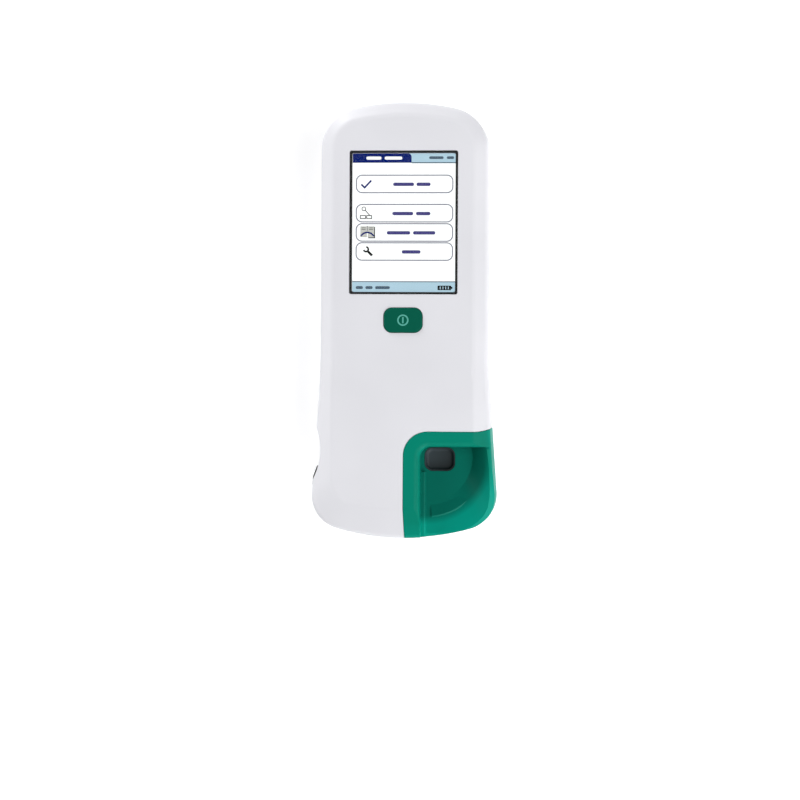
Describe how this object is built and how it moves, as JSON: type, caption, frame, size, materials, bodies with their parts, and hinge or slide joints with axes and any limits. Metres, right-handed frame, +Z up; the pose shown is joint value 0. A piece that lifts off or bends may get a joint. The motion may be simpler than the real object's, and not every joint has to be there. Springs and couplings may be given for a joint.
{
  "type": "cardiac marker analyzer",
  "caption": "Hand-held white meter with a colour display, green key, green lift-off cover with a strip recess, pull-out code chip and hinged battery door.",
  "frame": {"origin": "centre of the box on the surface that the meter lies on, under its four rubber feet", "axes": "+Z up out of the display, +Y towards the head end with the display, +X to the right of the display"},
  "size_m": [0.1038, 0.244, 0.0518],
  "materials": {
    "white_shell": "fine satin moulded surface",
    "green_cover": "satin moulded surface",
    "green_key": "satin",
    "clear_window": "polished clear",
    "dark_window": "polished dark",
    "display": "lit display",
    "light_guide": "translucent",
    "black_plastic": "fine matt",
    "grey_plastic": "matt",
    "black_rubber": "matt",
    "board": "lacquered",
    "ribbon": "satin film",
    "steel": "brushed",
    "contact_gold": "plated",
    "warm_plate": "satin",
    "lamp_resin": "clear resin"
  },
  "bodies": {
    "housing": {"front_casing": "white_shell", "rear_casing": "white_shell", "display_window": "clear_window", "lens": "clear_window", "infrared_window": "dark_window", "scanner_window": "dark_window", "lcd_panel": "display", "backlight": "light_guide", "strip_port": "black_plastic", "code_chip_socket": "black_plastic", "optics_carrier": "black_plastic", "lens_barrel": "black_plastic", "dc_socket": "black_plastic", "charging_block": "black_plastic", "scanner_module": "black_plastic", "strip_detector": "black_plastic", "flex_connector": "black_plastic", "tact_switch": "black_plastic", "infrared_transceiver": "black_plastic", "coin_cell_holder": "black_plastic", "beeper": "black_plastic", "processor": "black_plastic", "memory_chips": "black_plastic", "display_tray": "grey_plastic", "strip_guide": "grey_plastic", "battery_bay": "grey_plastic", "battery_pack": "grey_plastic", "rubber_feet": "black_rubber", "display_gasket": "black_rubber", "optics_seal": "black_rubber", "main_board": "board", "camera_board": "board", "lamp_board": "board", "display_flex": "ribbon", "optics_flex": "ribbon", "housing_screws": "steel", "board_screws": "steel", "shield_can": "steel", "clamp_spring": "steel", "coin_cell": "steel", "dc_contact_pin": "steel", "charging_contacts": "contact_gold", "battery_contacts": "contact_gold", "heater_plate": "warm_plate", "lamps": "lamp_resin", "camera_sensor": "lamp_resin"},
    "power_key": {"power_button": "green_key", "switch_plunger": "grey_plastic"},
    "chamber_lid": {"chamber_cover": "green_cover"},
    "coding_chip": {"code_chip": "black_plastic"},
    "battery_lid": {"battery_door": "white_shell"}
  },
  "joints": [
    {"name": "key_press", "type": "slide", "parent": "housing", "child": "power_key", "axis": [0, 0, -1], "range_m": [0, 0.0008], "stiffness_N_per_m": 1500},
    {"name": "cover_lift", "type": "slide", "parent": "housing", "child": "chamber_lid", "axis": [0, 0, 1], "range_m": [0, 0.03]},
    {"name": "chip_pull", "type": "slide", "parent": "housing", "child": "coding_chip", "axis": [-1, 0, 0], "range_m": [0, 0.022]},
    {"name": "battery_door_swing", "type": "hinge", "parent": "housing", "child": "battery_lid", "pos_m": [0, 0.08285, 0.00195], "axis": [1, 0, 0], "range_deg": [0, 95]}
  ]
}
